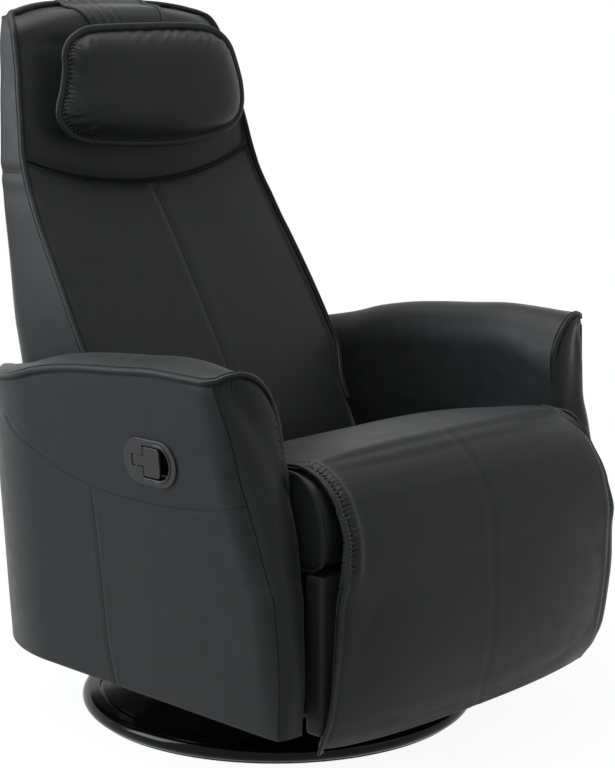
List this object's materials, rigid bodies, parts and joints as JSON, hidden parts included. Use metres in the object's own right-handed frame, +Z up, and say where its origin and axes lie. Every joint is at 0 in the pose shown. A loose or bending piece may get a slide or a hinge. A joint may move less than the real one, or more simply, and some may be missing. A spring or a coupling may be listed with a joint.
{
  "type": "swivel glider recliner",
  "caption": "Padded swivel glider recliner on a round disc base, with wrapping arms, a reclining back, a swing-out leg rest, a flush pull latch and a head pillow on a strap.",
  "frame": {"origin": "on the floor at the centre of the base disc's underside", "axes": "+Z up, the chair faces -Y, +X is to the right of a viewer who looks at its front"},
  "size_m": [0.8216, 0.9033, 1.1008],
  "materials": {
    "leather": "satin",
    "gloss_black": "gloss",
    "black_steel": "satin",
    "base_paint": "gloss",
    "zinc_steel": "satin",
    "bearing_steel": "polished",
    "nylon": "matte",
    "plywood": "matte",
    "felt": "matte"
  },
  "bodies": {
    "base": {"floor_pad": "felt", "base_disc": "base_paint", "hub": "black_steel", "lower_race": "bearing_steel", "bearing_balls": "bearing_steel", "swivel_stud": "zinc_steel", "stud_nut": "zinc_steel", "hub_bolts": "zinc_steel"},
    "carriage": {"upper_race": "bearing_steel", "swivel_plate": "black_steel", "carriage_beams": "black_steel", "glide_uprights": "black_steel", "upper_pins": "zinc_steel"},
    "front_swing": {"front_links": "black_steel", "front_bushes": "nylon"},
    "rear_swing": {"rear_links": "black_steel", "rear_bushes": "nylon"},
    "seat": {"side_rails": "black_steel", "cross_tubes": "black_steel", "link_brackets": "black_steel", "lower_pins": "zinc_steel", "seat_side_boards": "plywood", "seat_cross_boards": "plywood", "seat_springs": "zinc_steel", "seat_cushion": "leather", "right_arm": "leather", "left_arm": "leather", "right_arm_frame": "plywood", "left_arm_frame": "plywood", "arm_bolts": "zinc_steel", "front_fascia": "leather", "rear_panel": "leather", "recline_plates": "black_steel", "recline_pins": "zinc_steel", "recline_spacers": "nylon", "leg_brackets": "black_steel", "leg_pins": "zinc_steel", "latch_bezel": "gloss_black", "latch_pin": "zinc_steel"},
    "latch": {"latch_paddle": "gloss_black"},
    "back": {"back_body": "leather", "back_stiles": "plywood", "back_rails": "plywood", "back_cross_bar": "zinc_steel", "back_brackets": "black_steel", "back_cushion": "leather", "head_cushion": "leather", "strap": "leather"},
    "head_pillow": {"pillow": "leather"},
    "strap_weight": {"counterweight": "leather"},
    "leg_rest": {"leg_arms": "black_steel", "leg_core": "leather", "leg_pad": "leather"}
  },
  "joints": [
    {"name": "swivel", "type": "hinge", "parent": "base", "child": "carriage", "pos_m": [0, 0, 0.05], "axis": [0, 0, 1], "continuous": true},
    {"name": "glide", "type": "hinge", "parent": "carriage", "child": "front_swing", "pos_m": [0, -0.12, 0.225], "axis": [1, 0, 0], "range_deg": [-12, 12]},
    {"name": "glide_rear", "type": "hinge", "parent": "carriage", "child": "rear_swing", "pos_m": [0, 0.12, 0.225], "axis": [1, 0, 0], "range_deg": [-12, 12]},
    {"name": "glide_level", "type": "hinge", "parent": "front_swing", "child": "seat", "pos_m": [0, -0.12, 0.105], "axis": [1, 0, 0], "range_deg": [-12, 12]},
    {"name": "recline", "type": "hinge", "parent": "seat", "child": "back", "pos_m": [0, 0.11, 0.345], "axis": [-1, 0, 0], "range_deg": [0, 32]},
    {"name": "leg_swing", "type": "hinge", "parent": "seat", "child": "leg_rest", "pos_m": [0, -0.397, 0.425], "axis": [-1, 0, 0], "range_deg": [0, 80]},
    {"name": "latch_pull", "type": "hinge", "parent": "seat", "child": "latch", "pos_m": [-0.4005, -0.1225, 0.475], "axis": [0, 0, 1], "range_deg": [-24, 0], "stiffness_Nm_per_rad": 0.4},
    {"name": "pillow_slide", "type": "slide", "parent": "back", "child": "head_pillow", "axis": [0, 0.2681, 0.9634], "range_m": [-0.02, 0.05]},
    {"name": "weight_slide", "type": "slide", "parent": "back", "child": "strap_weight", "axis": [0, 0.116, 0.9932], "range_m": [-0.05, 0.02]}
  ],
  "couplings": [
    {"joint": "glide_rear", "follows": "glide", "ratio": 1},
    {"joint": "glide_level", "follows": "glide", "ratio": -1},
    {"joint": "weight_slide", "follows": "pillow_slide", "ratio": -1}
  ]
}
